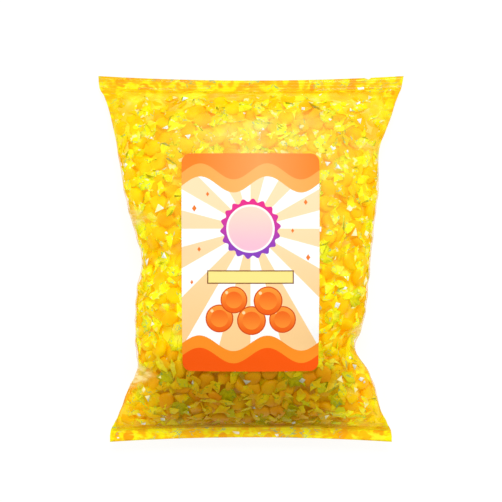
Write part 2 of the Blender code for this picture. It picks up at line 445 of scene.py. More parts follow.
def candy_print(paint):
    """A soft picture of candies: gold rounds on lemon wrappers, with pale slivers, a few painted green-grey
    glints and painted shade towards the top seal.
    """
    place = paint.shifted(paint.place(), 60.0, 0.008)
    streaked = paint.drawn_out(place, (0.7, 1.7, 1.2))
    lot = paint.channel(paint.cells(76.0, output="Color", vector=place))
    disc = 1 - paint.cells(76.0, vector=place).step(0.34, 0.44)
    gold = paint.mix(lot, srgb(250, 156, 0), srgb(252, 194, 0))
    sheet = paint.mix(paint.noise(85.0, 2.0).step(0.42, 0.58), srgb(251, 194, 0), srgb(254, 240, 8))
    colour = paint.mix(disc * 0.9, sheet, gold)
    dark = paint.noise(120.0, 3.0, streaked).step(0.54, 0.64)
    colour = paint.mix(dark * 0.6, colour, srgb(248, 178, 0))
    light = paint.noise(100.0, 3.0, streaked).step(0.56, 0.66)
    colour = paint.mix(light * 0.85, colour, srgb(255, 244, 44))
    # Thin green-grey lines: painted glints on the crinkled film
    green_glints = (abs(paint.noise(90.0, 2.0, streaked) - 0.5) < 0.014) * paint.noise(33.0).step(0.50, 0.58)
    colour = paint.mix(green_glints * 0.65, colour, GREEN_GLINT)
    x, y, _ = paint.axes()
    # Darker and less blue towards the top seal, which faces the key light: painted shade
    colour = paint.tinted(y.step(0.10, 0.165), colour, (0.95, 0.96, 0.6))
    shards = paint.drawn_out(place, (0.6, 1.5, 1.1), turn=(0.3, 0.2, 0.5))
    slivers = paint.cells(80.0, vector=shards, measure="MANHATTAN") < 0.23
    slivers = slivers * paint.noise(26.0).step(0.46, 0.52) * (abs(x) < 0.142)
    return paint.mix(slivers, colour, srgb(250, 250, 244))


def film_material():
    """Clear film with a yellow cast, printed in candy colours where nothing lies behind it, with a painted
    sheen on its upper middle, a painted shadow along the crease above the lower seal and a painted glow on
    that seal.
    """
    paint = Paint("clear printed film")
    x, y, _ = paint.axes()
    bare = paint.attribute("bare")
    side = paint.attribute("side")
    back = paint.attribute("back")
    gathered = paint.noise(85.0, 2.0, paint.drawn_out(paint.place(), (1.0, 2.8, 0.5))).step(0.36, 0.60)
    pinch = paint.attribute("pinch") * (0.55 + 0.45 * gathered)
    blotch = paint.noise(60.0, 2.0)
    # A painted sheen of pale light over the film's upper middle, in patches
    sheen_area = y.step(-0.06, 0.11) * y.step(0.160, 0.130) * x.step(-0.13, 0.0) * x.step(0.135, 0.05)
    painted_sheen = sheen_area * (0.25 + 0.75 * paint.noise(22.0, 2.0).step(0.40, 0.68))
    haze_and_sheen = 0.015 + 0.025 * y.step(-0.13, -0.05) + 0.28 * painted_sheen + 0.22 * side
    # A painted shadow line along the crease above the lower seal
    crease_line = SEAL_CREASE_Y + SEAL_CREASE_WIDTH * (paint.noise(20.0) - 0.5)
    crease_shadow = (1.6 - abs(y - crease_line) / SEAL_CREASE_WIDTH).clamp() * (0.5 + 0.5 * blotch.step(0.4, 0.6))
    crease_shadow = crease_shadow * (1 - (x / SEAL_CREASE_HALF_LENGTH) ** 6).clamp()
    seam = back * (1 - (abs(x) / SEAM_HALF_WIDTH).step(0.9, 1.0))
    seam_edge = back * (1 - abs(abs(x) - SEAM_HALF_WIDTH) / SEAM_EDGE).clamp()
    alpha = (haze_and_sheen + bare + 0.75 * pinch + 0.8 * crease_shadow + 0.22 * seam + 0.3 * seam_edge).clamp()
    ridges = paint.noise(45.0, 5.0, roughness=0.62)
    folds = paint.noise(14.0, 3.0)
    crimp = (y * (2 * math.pi / CRIMP)).sin() * abs(y).step(*CRIMPED_FROM)
    relief = ridges * 0.4 + folds + crimp * 0.03 + seam * 0.2
    cast = paint.mix(blotch.step(0.35, 0.62), srgb(255, 190, 0), srgb(255, 240, 30))
    # Paler in the sheen area, as part of the painted sheen
    cast = paint.mix(sheen_area * 0.9, cast, srgb(255, 246, 186))
    cast = paint.mix(side, cast, srgb(255, 206, 20))
    colour = paint.mix(bare, cast, candy_print(paint))
    colour = paint.tinted(paint.attribute("shade"), colour, END_TINT)
    colour = paint.mix(crease_shadow * 0.85, colour, srgb(172, 92, 0))
    colour = paint.mix(pinch, colour, paint.mix(gathered, srgb(250, 206, 96), srgb(255, 230, 152)))
    shader = paint.surface(
        Base_Color=colour,
        Roughness=0.2,
        Alpha=alpha,
        Normal=paint.bump(relief, distance=0.0022, strength=0.45),
        Specular_IOR_Level=0.15,
        # The lower seal glows faintly: a painted glow that brightens it
        Emission_Color=paint.mix(y.step(-0.1695, -0.1715), (0.0, 0.0, 0.0), colour),
        Emission_Strength=0.10,
    )
    return paint.finish(shader)


def candy_material(kind):
    """An amber disc seen through its tight wrapper, with yellow cellophane fans."""
    paint = Paint(f"{kind} wrapped candy")
    amber, gold, lemon = (srgb(*colour) for colour in CANDY_COLOURS[kind])
    fan = paint.attribute("fan")
    tint = paint.attribute("tint")
    lot = paint.attribute("lot")
    x, y, _ = paint.axes()
    crinkle = paint.noise(300.0, 3.0)
    soft = paint.noise(105.0, 2.0)
    drift = paint.drift()
    body = paint.mix((0.55 * drift + 0.45 * tint + (soft - 0.5) * 0.8).clamp(), amber, gold)
    spots = paint.cells(150.0) < 0.07
    body = paint.mix(spots * 0.5, body, srgb(226, 140, 0))
    ripe = 0.60 * drift + 0.40 * lot + (soft - 0.5) * 0.9 + (crinkle - 0.5) * 0.3
    sheet = paint.mix(ripe.step(0.12, 0.72), gold, lemon)
    sheet = paint.mix(paint.noise(60.0, 1.0).step(0.58, 0.70) * 0.35, sheet, srgb(244, 232, 120))
    low = y.step(-0.09, -0.13) * (1 - (x / 0.125) ** 4).clamp()
    sheet = paint.mix((lot > 0.97 - 0.28 * low) * (0.3 + 0.4 * low), sheet, srgb(186, 204, 24))
    folds = (paint.attribute("pleat") * 9.0).sin() * fan.step(0.05, 0.3)
    # Darker gold along one side of each pleat: painted shade in the fans' folds
    sheet = paint.mix(folds.step(0.3, 0.95) * 0.22, sheet, srgb(214, 182, 0))
    # Pale glints, fewer towards the lower end: painted highlights on the wrappers
    painted_glints = paint.noise(170.0, 2.0).step(0.60, 0.66) * (0.15 + 0.85 * y.step(-0.12, 0.06))
    sheet = paint.mix(painted_glints * 0.75, sheet, srgb(252, 240, 176))
    # Thin green-grey lines: painted glints on the crinkled wrappers
    crinkle_glints = abs(paint.noise(95.0, 2.0) - 0.5) < 0.011
    sheet = paint.mix(crinkle_glints * (soft > 0.50) * 0.65, sheet, GREEN_GLINT)
    colour = paint.mix(fan.step(0.0, 0.25), body, sheet)
    corner = y.step(-0.08, -0.12) * abs(x).step(0.065, 0.105)
    right_flank = x.step(0.055, 0.085) * y.step(-0.09, -0.04)
    ripened = 0.6 * paint.noise(34.0, 1.0).step(0.42, 0.62) * (1 - 0.6 * right_flank)
    mellow = (ripened + 0.5 * corner).clamp()
    colour = paint.tinted(mellow, colour, (0.98, 0.86, 0.55))
    # Small dark brown specks: painted shadow in the gaps between sweets
    shadow_specks = (paint.cells(70.0) < 0.03) * (soft > 0.5)
    colour = paint.mix(shadow_specks * 0.6, colour, srgb(150, 110, 30))
    colour = paint.tinted(paint.attribute("shade"), colour, END_TINT)
    # The fans' base colour is held back and they glow more than the discs: a painted glow standing in for
    # light through thin cellophane
    thin = fan.step(0.05, 0.3)
    shader = paint.surface(
        Base_Color=paint.tinted(thin, colour, (0.70, 0.70, 0.70)),
        Roughness=0.4,
        Specular_IOR_Level=0.07,
        Emission_Color=paint.tinted(1 - thin, colour, (0.5, 0.5, 0.5)),
        Emission_Strength=CONTENTS_GLOW * 2,
        Normal=paint.bump(crinkle * 0.5 + folds * 0.25, distance=0.0007, strength=0.5),
    )
    return paint.finish(shader)


def wrapper_corner_material():
    """Clear and silvery scraps of wrapper that catch the light, with a painted glow, a painted shadow on
    one side and painted shade towards the lower end, and some green-grey slivers.
    """
    paint = Paint("pale wrapper corner")
    crinkle = paint.noise(260.0, 2.0)
    colour = paint.mix(crinkle.step(0.4, 0.62), srgb(255, 255, 255), srgb(226, 232, 226))
    colour = paint.mix(paint.attribute("green"), colour, srgb(176, 196, 150))
    # Grey towards one side of each scrap: painted shadow
    colour = paint.mix(paint.attribute("far_side"), colour, srgb(150, 158, 138))
    colour = paint.tinted(paint.attribute("shade"), colour, (0.50, 0.48, 0.36))
    x, y, _ = paint.axes()
    # Darker towards the bag's lower end: painted shade
    colour = paint.tinted(y.step(-0.07, -0.11) * 0.6, colour, (0.62, 0.58, 0.42))
    flank = abs(x).step(0.068, 0.080) * y.step(0.100, 0.070)
    yellowed = flank * paint.noise(30.0, 1.0).step(0.45, 0.50)
    colour = paint.mix(yellowed * 0.6, colour, srgb(255, 236, 130))
    # Their emission is a painted glow
    shader = paint.surface(Base_Color=colour, Roughness=0.25, Emission_Color=colour, Emission_Strength=0.2)
    return paint.finish(shader)


def core_material():
    """The candies further in, as gold lumps."""
    paint = Paint("deeper candies")
    place = paint.shifted(paint.place(), 45.0, 0.012)
    value = paint.channel(paint.cells(62.0, output="Color", vector=place))
    lump = paint.cells(62.0, vector=place)
    golds = ((0.0, srgb(238, 174, 0)), (0.5, srgb(240, 198, 0)), (0.9, srgb(242, 224, 14)))
    colour = paint.ramp(value * 0.4 + paint.drift() * 0.6, *golds)
    colour = paint.tinted(paint.attribute("shade"), colour, END_TINT)
    # Its emission is a painted glow standing in for light passed on through the sweets
    shader = paint.surface(
        Base_Color=colour,
        Roughness=0.4,
        Emission_Color=colour,
        Emission_Strength=CONTENTS_GLOW,
        Normal=paint.bump(lump, distance=0.006, strength=0.8),
    )
    return paint.finish(shader)


def ink(red, green, blue):
    """A print colour, held back a little because the label faces the brightest light."""
    return tuple(share * INK_STRENGTH for share in srgb(red, green, blue))


def label_material():
    """Printed paper: wavy bands, rays, a heap of round sweets with sparks, and a blank badge and plate."""
    paint = Paint("printed label paper")
    x, y, _ = paint.axes()
    across = (x - LABEL_CENTRE[0]) * 1000
    up = (y - LABEL_CENTRE[1]) * 1000

    def angle_about(u, v):
        return paint.add("ShaderNodeMath", {"operation": "ARCTAN2"}, {0: across - u, 1: up - v})

    def distance_from(u, v):
        return ((across - u) * (across - u) + (up - v) * (up - v)) ** 0.5

    rays = (angle_about(*BADGE_CENTRE) * RAYS).sin() > 0.0
    # The cream rays darken towards the label's lower end: painted shade
    shaded_cream = paint.mix(up.step(-80, 80), ink(255, 211, 148), ink(255, 226, 182))
    colour = paint.mix(rays, ink(255, 255, 252), shaded_cream)
    for u, v, size in PRINTED_SPARKS:
        colour = paint.mix(abs(across - u) * 1.5 + abs(up - v) < size, colour, ink(240, 124, 44))
    for u, v, radius in PRINTED_ROUNDS:
        reach = distance_from(u, v) / radius
        lit = ((up - v) / radius).step(-0.9, 0.9)
        colour = paint.mix(reach < 1.0, colour, ink(212, 74, 14))
        colour = paint.mix(reach < 0.92, colour, paint.mix(lit, ink(244, 96, 18), ink(255, 152, 52)))
        colour = paint.mix(reach < 0.62, colour, paint.mix(lit, ink(255, 148, 48), ink(244, 100, 22)))
        shine = distance_from(u - 0.54 * radius, v + 0.54 * radius) < 0.11 * radius
        colour = paint.mix(shine, colour, ink(255, 220, 164))
    badge = distance_from(*BADGE_CENTRE)
    rim = BADGE_RADIUS + SCALLOP_DEPTH * (angle_about(*BADGE_CENTRE) * SCALLOPS).sin()
    rise = ((up - BADGE_CENTRE[1]) / BADGE_RADIUS).step(-1.0, 1.0)
    colour = paint.mix(badge < rim, colour, paint.mix(rise, ink(134, 62, 190), ink(232, 44, 140)))
    colour = paint.mix(badge < BADGE_RADIUS - BADGE_RIM, colour, ink(255, 250, 244))
    blush = paint.mix(rise, ink(255, 190, 214), ink(255, 222, 200))
    colour = paint.mix(badge < BADGE_RADIUS - BADGE_LINE, colour, blush)
    plate = (abs(across) - PLATE_SIZE[0]).at_least(abs(up - PLATE_HEIGHT) - PLATE_SIZE[1])
    colour = paint.mix(plate < 0.0, colour, ink(122, 66, 16))
    colour = paint.mix(plate < -PLATE_LINE, colour, ink(255, 232, 140))
    wave = (across * (2 * math.pi / WAVE_LENGTH)).sin()
    # Lighter in the middle of the upper bands: a painted sheen
    middle = (1 - abs(across - 8) / 62).clamp()
    for edge, at_sides, in_middle in UPPER_BANDS:
        band = paint.mix(middle, ink(*at_sides), ink(*in_middle))
        colour = paint.mix(up > edge + UPPER_WAVE * wave, colour, band)
    for edge, orange in LOWER_BANDS:
        colour = paint.mix(up < LOWER_WAVE * wave - edge, colour, ink(*orange))
    fibres = paint.noise(900.0, 2.0)
    shader = paint.surface(
        Base_Color=paint.mix(fibres * 0.03, colour, ink(255, 214, 160)),
        Roughness=0.5,
        Specular_IOR_Level=0.03,
        Normal=paint.bump(fibres, distance=0.0002, strength=0.25),
    )
    return paint.finish(shader)


def floor_material():
    """Plain white, just bright enough to be nearly the same all over."""
    paint = Paint("white floor")
    grain = paint.noise(3.0)
    shader = paint.surface(
        Base_Color=paint.mix(grain, (0.14, 0.14, 0.14), (0.16, 0.16, 0.16)),
        Roughness=0.9,
        Emission_Color=(1.0, 1.0, 1.0),
        Emission_Strength=0.87,
    )
    return paint.finish(shader)


# ---------------------------------------------------------------- modelling helpers


def deselect_all():
    for obj in bpy.context.view_layer.objects:
        obj.select_set(False)


def edit(obj):
    """Takes one object alone into edit mode with all of it selected."""
    deselect_all()
    bpy.context.view_layer.objects.active = obj
    obj.select_set(True)
    bpy.ops.object.mode_set(mode="EDIT")
    bpy.ops.mesh.select_all(action="SELECT")


def select_points(obj, test):
    """In edit mode, selects the points whose place passes the test, and nothing else."""
    bpy.ops.mesh.select_mode(type="VERT")
    bpy.ops.mesh.select_all(action="DESELECT")
    shape = bmesh.from_edit_mesh(obj.data)
    for vertex in shape.verts:
        vertex.select = test(vertex.co)
    shape.select_flush_mode()
    bmesh.update_edit_mesh(obj.data)


def select_long_edges(obj, longest):
    """In edit mode, selects the edges over a length. Gives how many there are."""
    bpy.ops.mesh.select_mode(type="EDGE")
    bpy.ops.mesh.select_all(action="DESELECT")
    shape = bmesh.from_edit_mesh(obj.data)
    count = 0
    for edge in shape.edges:
        edge.select = edge.calc_length() > longest
        count += edge.select
    bmesh.update_edit_mesh(obj.data)
    return count


def end_edit(turn_out=False):
    """Leaves edit mode, with all faces turned outwards first where that is asked for."""
    if turn_out:
        bpy.ops.mesh.select_all(action="SELECT")
        bpy.ops.mesh.normals_make_consistent(inside=False)
    bpy.ops.object.mode_set(mode="OBJECT")


def points_of(mesh):
    places = np.empty(len(mesh.vertices) * 3, np.float32)
    mesh.vertices.foreach_get("co", places)
    return places.reshape(-1, 3).astype(float)


def normals_of(mesh):
    normals = np.empty(len(mesh.vertices) * 3, np.float32)
    mesh.vertex_normals.foreach_get("vector", normals)
    return normals.reshape(-1, 3).astype(float)


def set_points(mesh, places):
    mesh.vertices.foreach_set("co", np.asarray(places, np.float32).ravel())
    mesh.update()


def set_attribute(mesh, name, values):
    layer = mesh.attributes.new(name, "FLOAT", "POINT")
    layer.data.foreach_set("value", np.asarray(values, np.float32))


def tree_of(mesh):
    mesh.calc_loop_triangles()
    triangles = [tuple(triangle.vertices) for triangle in mesh.loop_triangles]
    return BVHTree.FromPolygons([v.co.copy() for v in mesh.vertices], triangles)


def smooth(value, low, high):
    """0 on low's side and 1 on high's side, smooth between them."""
    t = np.clip((value - low) / (high - low), 0, 1)
    return t * t * (3 - 2 * t)


def unit(vector):
    return vector / np.linalg.norm(vector)


def square_to(direction, draw):
    """A random direction at a right angle to another."""
    return unit(np.cross(direction, draw.normal(size=3)))


def new_object(name, data):
    obj = bpy.data.objects.new(name, data)
    bpy.context.scene.collection.objects.link(obj)
    return obj


def copy_of_bag(name):
    """The bag's solid again, its loose triangles merged, in edit mode."""
    mesh = frame["nodes"]["bag"].data.copy()
    mesh.name = name
    copy = new_object(name, mesh)
    edit(copy)
    bpy.ops.mesh.remove_doubles(threshold=1e-6)
    return copy


def take_form(obj):
    """The points and faces of a modelled form, whose object is no longer needed."""
    places = points_of(obj.data)
    faces = [tuple(face.vertices) for face in obj.data.polygons]
    bpy.data.objects.remove(obj)
    return places, faces


def join_forms(name, forms):
    """One object of many small forms, each given as its points, its faces and its attributes' values."""
    faces = []
    start = 0
    for places, own_faces, _ in forms:
        faces += [tuple(index + start for index in face) for face in own_faces]
        start += len(places)
    mesh = bpy.data.meshes.new(name)
    mesh.from_pydata(np.concatenate([places for places, _, _ in forms]), [], faces)
    for attribute in forms[0][2]:
        set_attribute(mesh, attribute, np.concatenate([values[attribute] for _, _, values in forms]))
    return new_object(name, mesh)


def settle(obj, material):
    """Gives a finished piece its material and its place in the frame."""
    obj.data.materials.clear()
    obj.data.materials.append(material)
    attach(obj, "root")
    return obj


# ---------------------------------------------------------------- film


def model_film():
    """The bag's own form with a mesh fine enough to press over candies."""
    film = copy_of_bag("film")
    while select_long_edges(film, FILM_EDGE):
        bpy.ops.mesh.subdivide(number_cuts=1, quadcorner="INNERVERT")
        bpy.ops.mesh.select_all(action="SELECT")
        bpy.ops.mesh.quads_convert_to_tris(quad_method="SHORTEST_DIAGONAL")
    select_points(film, lambda place: abs(place.y) < SEAL_INNER_Y and place.z > REST_HEIGHT)
    bpy.ops.mesh.vertices_smooth(factor=0.5, repeat=6)
    end_edit(turn_out=True)
    film.data.shade_smooth()
    return film


# ---------------------------------------------------------------- candies


def model_wrapped_candy(draw, lower_rings, upper_rings):
    """One candy in its twisted wrapper, drawn out ring by ring from the tip of one fan to the other."""
    spreads = draw.uniform(*FAN_SPREADS, 2)
    rings = [(-x, w * (spreads[0] if x > NECK else 1), h) for x, w, h in lower_rings[:0:-1]]
    rings += [(x, w * (spreads[1] if x > NECK else 1), h) for x, w, h in upper_rings]
    deselect_all()
    first_x, first_width, first_height = rings[0]
    bpy.ops.mesh.primitive_circle_add(
        vertices=WRAPPER_SIDES, radius=first_width, fill_type="NGON", rotation=(0, math.pi / 2, 0)
    )
    candy = bpy.context.object
    bpy.ops.object.transform_apply(location=False, rotation=True, scale=False)
    edit(candy)
    bpy.ops.transform.translate(value=(first_x, 0, 0))
    bpy.ops.transform.resize(value=(1, 1, first_height / first_width), center_override=(first_x, 0, 0))
    last_x, last_width, last_height = rings[0]
    for x, width, height in rings[1:]:
        bpy.ops.mesh.extrude_region_move(TRANSFORM_OT_translate={"value": (x - last_x, 0, 0)})
        growth = (1, width / last_width, height / last_height)
        bpy.ops.transform.resize(value=growth, center_override=(x, 0, 0))
        last_x, last_width, last_height = x, width, height
    end_edit(turn_out=True)
    return take_form(candy)


def press_disc(places):
    """Flattens a candy's two faces and presses a shallow hollow into each."""
    x, y, z = places.T
    near_middle = np.abs(x) < HOLLOW_REACH
    height = np.where(near_middle, DISC_HALF_HEIGHT, DISC_EDGE_HALF_HEIGHT)
    flat = np.sign(z) * height * np.abs(z / height) ** FACE_ROUNDNESS
    hollow = np.where(near_middle & (np.abs(z) > 0.97 * height), HOLLOW_SHARE, 1.0)
    return np.column_stack((x, y, np.where(np.abs(x) < DISC_REACH, flat * hollow, z)))


def fold_fans(places, draw):
    """Pleats, splays and twists the fans at each end of a candy's points."""
    x, y, z = places.T
    out = np.clip((np.abs(x) - NECK) / (FAN_TIP - NECK), 0, 1)

    def waves(half_pitch, height):
        return np.cos(y / half_pitch * math.pi + draw.uniform(0, 6)) * height * out

    z = z + sum(waves(*pleats) for pleats in PLEATS)
    x = x + np.sign(x) * waves(*RAGGED_TIP)
    x = x - np.sign(x) * out * (y / FAN_HALF_WIDTH) ** 2 * FAN_CURVE
    for side in (-1, 1):
        twist = draw.uniform(-FAN_TWIST, FAN_TWIST)
        turn = twist * np.where(x * side > 0, smooth(np.abs(x), *TWIST_ALONG), 0)
        y, z = y * np.cos(turn) - z * np.sin(turn), y * np.sin(turn) + z * np.cos(turn)
    return np.column_stack((x, y, z))


def pleat_open_fan(places):
    """Puts radial pleats into the fan that stands open, and tells which points lie on a ridge."""
    x, y, z = places.T
    ridge = np.cos(np.arctan2(z / OPEN_FAN_FLATNESS, y) * WRAPPER_SIDES / 2)
    outwards = np.clip((np.hypot(y, z) - OPEN_PLEATS_START) / OPEN_PLEATS_LENGTH, 0, 1)
    lift = np.where(x > NECK, outwards, 0) * ridge
    grow = 1 + OPEN_PLEAT_SPREAD * lift
    pleated = np.column_stack((x + lift * OPEN_PLEAT_HEIGHT, y * grow, z * grow))
    return pleated, np.where(ridge > 0, 1.4, 0.0)


def end_shade(places):
    """How deep the shade is on the steep lower end of the bag, where the film is gathered, from 0 to 1."""
    low = smooth(places[:, 1], *SHADE_ALONG)
    across = np.abs(places[:, 0] - SHADE_MIDDLE_X)
    middle = sum(share * smooth(across, outer, inner) for share, outer, inner in SHADE_ACROSS)
    front = smooth(places[:, 2], *SHADE_UP)
    return low * middle * (0.4 + 0.6 * front)


def scatter_on(film, draw, count):
    """Random places and outward normals on the film, evenly by area."""
    mesh = film.data
    mesh.calc_loop_triangles()
    corners = np.empty(len(mesh.loop_triangles) * 3, np.int32)
    mesh.loop_triangles.foreach_get("vertices", corners)
    a, b, c = (points_of(mesh)[corners.reshape(-1, 3)[:, k]] for k in range(3))
    cross = np.cross(b - a, c - a)
    area = np.linalg.norm(cross, axis=1)
    chosen = draw.choice(len(area), count, p=area / area.sum())
    u, v = draw.uniform(size=(2, count))
    flip = u + v > 1
    u, v = np.where(flip, 1 - u, u), np.where(flip, 1 - v, v)
    places = a[chosen] + u[:, None] * (b - a)[chosen] + v[:, None] * (c - a)[chosen]
    return places, cross[chosen] / area[chosen, None]


def under_label(place):
    inside_x = abs(place[0] - LABEL_CENTRE[0]) < min(LABEL_WIDTHS) / 2 - LABEL_MARGIN
    inside_y = abs(place[1] - LABEL_CENTRE[1]) < LABEL_LENGTH / 2 - LABEL_MARGIN
    return inside_x and inside_y and place[2] > UPPER_SIDE_Z


def depth_under(tree, place):
    """How deep a place lies under the film, or 0 where it is outside."""
    nearest, normal, _, gap = tree.find_nearest(Vector(place))
    return gap if (Vector(place) - nearest).dot(normal) < 0 else 0.0


def outermost(places, y, side):
    """The index of the point that is furthest out on one side of the bag, at a place along it."""
    near = np.flatnonzero(np.abs(places[:, 1] - y) < SLICE)
    return near[np.argmax(places[near, 0] * side)]


class Crowd:
    """Places kept apart by a spacing."""

    def __init__(self, spacing):
        self.spacing = spacing
        self.cells = {}

    def fits(self, place):
        cell = tuple(int(math.floor(value / self.spacing)) for value in place)
        for dx in (-1, 0, 1):
            for dy in (-1, 0, 1):
                for dz in (-1, 0, 1):
                    for other in self.cells.get((cell[0] + dx, cell[1] + dy, cell[2] + dz), ()):
                        if math.dist(place, other) < self.spacing:
                            return False
        self.cells.setdefault(cell, []).append(tuple(place))
        return True


def lay_upright(film, tree, draw, crowd):
    """Chooses a few candies that stand on end with an open fan against the film."""
    sparse = Crowd(UPRIGHT_SPACING)
    found = []
    for place, normal in zip(*scatter_on(film, draw, UPRIGHT_TRIALS)):
        centre = place - normal * (OPEN_FAN_TIP + UPRIGHT_GAP)
        if abs(centre[1]) > SEAL_INNER_Y - UPRIGHT_ROOM or centre[2] < UPRIGHT_ROOM or under_label(place):
            continue
        if depth_under(tree, centre) < UPRIGHT_ROOM or not sparse.fits(place):
            continue
        crowd.fits(place - normal * UPRIGHT_FACE_DEPTH)
        side = square_to(normal, draw)
        turn = np.column_stack((normal, side, np.cross(normal, side)))
        found.append((centre, turn, normal, "upright"))
    return found


def lay_candies(film, tree, draw, crowd, depth, tilt_spread):
    """Chooses candies at a depth, each given as its centre, its axes, its outward normal and its kind."""
    found = []
    places, normals = scatter_on(film, draw, CANDY_TRIALS)
    tilts = np.abs(draw.normal(0, tilt_spread, len(places)))
    on_edge = draw.uniform(size=len(places)) < ON_EDGE_SHARE
    tilts = np.where(on_edge, draw.uniform(*ON_EDGE_TILTS, len(places)), np.minimum(tilts, MOST_TILT))
    for place, normal, tilt in zip(places, normals, tilts):
        reach = DISC_RADIUS * math.sin(tilt) + DISC_HALF_HEIGHT * math.cos(tilt)
        centre = place - normal * (depth + reach + LAID_GAP)
        if abs(centre[1]) > SEAL_INNER_Y or centre[2] < LOWEST_MIDDLE or under_label(place):
            continue
        if depth_under(tree, centre) < min(reach, LAID_ROOM) or not crowd.fits(centre):
            continue
        along = square_to(normal, draw)
        disc_normal = normal * math.cos(tilt) + np.cross(normal, along) * math.sin(tilt)
        spin = draw.uniform(0, 2 * math.pi)
        side = np.cross(disc_normal, along)
        fan_axis = along * math.cos(spin) + side * math.sin(spin)
        turn = np.column_stack((fan_axis, np.cross(disc_normal, fan_axis), disc_normal))
        found.append((centre, turn, normal, "lying"))
    return found


def lay_fans(film, tree, draw, pieces):
    """Chooses fans of sweets further in, where a gap shows between the outer ones."""
    behind = [tree_of(piece.data) for piece in pieces]
    crowd = Crowd(FAN_SPACING)
    found = []
    for place, normal in zip(*scatter_on(film, draw, FAN_TRIALS)):
        if abs(place[1]) > FANS_END_Y or place[2] < LOWEST_FAN or under_label(place):
            continue
        inward = Vector(-normal)
        thickness = tree.ray_cast(Vector(place) + inward * 0.0003, inward)[3]
        if thickness is None or thickness < THINNEST_FOR_FAN:
            continue
        if any(other.ray_cast(Vector(place), inward, GAP_DEPTH)[0] for other in behind):
            continue
        in_thin_place, above_or_below, at_sides = FAN_CHANCES
        likely = above_or_below if abs(normal[2]) > 0.6 else at_sides
        if thickness < THIN_BAG or abs(place[1]) > SLACK_END_Y:
            likely = in_thin_place
        if draw.uniform() > likely or not crowd.fits(place):
            continue
        axis = square_to(normal, draw)
        axis = axis * math.cos(FAN_DIP) - normal * math.sin(FAN_DIP)
        side = unit(np.cross(normal, axis))
        turn = np.column_stack((axis, side, np.cross(axis, side)))
        depth = min(draw.uniform(*FAN_DEPTHS), thickness / 3)
        centre = place - normal * depth - axis * (FAN_TIP + NECK) / 2
        found.append((centre, turn, normal, "fan"))
    return found


def lay_edge_fans(film, draw):
    """Lets a fan reach into the bag's side edges every few millimetres, where a whole sweet can't."""
    places, normals = points_of(film.data), normals_of(film.data)
    found = []
    for side in (-1, 1):
        for y in np.arange(-EDGE_FANS_END, EDGE_FANS_END, EDGE_FAN_SPACING) + draw.uniform(0, 0.004):
            index = outermost(places, y, side)
            axis = unit(normals[index] * (1, 1, 0))
            lean = draw.uniform(-EDGE_FAN_LEAN, EDGE_FAN_LEAN)
            flat = np.array((0, 0, math.cos(lean))) + np.cross(axis, (0, 0, 1)) * math.sin(lean)
            turn = np.column_stack((axis, np.cross(flat, axis), flat))
            centre = places[index] - axis * (FAN_TIP + draw.uniform(*EDGE_FAN_GAPS))
            found.append((centre, turn, axis, "fan"))
    return found


def press_inside(places, clearance, tree):
    """Moves points that stand past the film back under it."""
    for index, place in enumerate(places):
        nearest, normal, _, gap = tree.find_nearest(Vector(place))
        height = (Vector(place) - nearest).dot(normal)
        if height > -clearance[index] and gap < NEAR_FILM:
            places[index] = nearest - normal * clearance[index]
    places[:, 1] = np.clip(places[:, 1], -SEAL_INNER_Y, SEAL_INNER_Y)
    return places


def pokes_out(places, faces, tree):
    """Whether the middle of any face stands outside the film."""
    for face in faces:
        middle = Vector(places[list(face)].mean(axis=0))
        nearest, normal, _, _ = tree.find_nearest(middle)
        if (middle - nearest).dot(normal) > -LEAST_CLEARANCE:
            return True
    return False


def build_candies(name, lots, styles, tree, draw, material):
    """One piece of many candies, each a copy of a modelled one, placed and pressed under the film."""
    forms = []
    for centre, turn, normal, kind in lots:
        shape, faces, out, pleat = styles[kind][draw.integers(len(styles[kind]))]
        local = shape if kind == "upright" else fold_fans(shape, draw)
        world = local @ turn.T + centre
        chances = draw.uniform(*FAN_LOTS[kind], 2)
        for side in (-1, 1):
            lift = draw.choice(FAN_LIFTS) * (kind == "lying")
            world += normal * (out * (shape[:, 0] * side > 0) * lift)[:, None]
        fan_clearance = FAN_CLEARANCE + draw.uniform(0, FAN_CLEARANCE_SPREAD)
        clearance = np.where(out > 0.15, fan_clearance, FILM_CLEARANCE)
        tint = draw.uniform()
        for _ in range(PRESSINGS):
            world = press_inside(world, clearance, tree)
            if pokes_out(world, faces, tree):
                world -= normal * PRESSED_IN[kind]
                continue
            values = {
                "fan": out,
                "tint": np.full(len(shape), tint),
                "lot": np.where(shape[:, 0] > 0, *chances),
                "pleat": pleat,
                "shade": end_shade(world),
            }
            forms.append((world, faces, values))
            break
    candies = join_forms(name, forms)
    candies.data.validate()
    candies.data.shade_smooth()
    return settle(candies, material)


def model_wrapper_corner(draw, width, sides):
    """A small crooked scrap of wrapper, wide or narrow."""
    deselect_all()
    bpy.ops.mesh.primitive_circle_add(vertices=sides, radius=CORNER_RADIUS, fill_type="NGON")
    corner = bpy.context.object
    edit(corner)
    select_points(corner, lambda place: place.y > CORNER_TIP)
    bpy.ops.transform.translate(value=(draw.uniform(-0.002, 0.002), draw.uniform(0.0, 0.002), 0))
    select_points(corner, lambda place: place.x > CORNER_TIP)
    bpy.ops.transform.translate(value=(draw.uniform(-0.001, 0.001), draw.uniform(-0.0015, 0.0015), 0))
    bpy.ops.mesh.select_all(action="SELECT")
    bpy.ops.transform.resize(value=(draw.uniform(0.8, 1.3), width, 1), center_override=(0, 0, 0))
    bpy.ops.mesh.extrude_region_move(TRANSFORM_OT_translate={"value": (0, 0, CORNER_THICKNESS)})
    end_edit(turn_out=True)
    return take_form(corner)


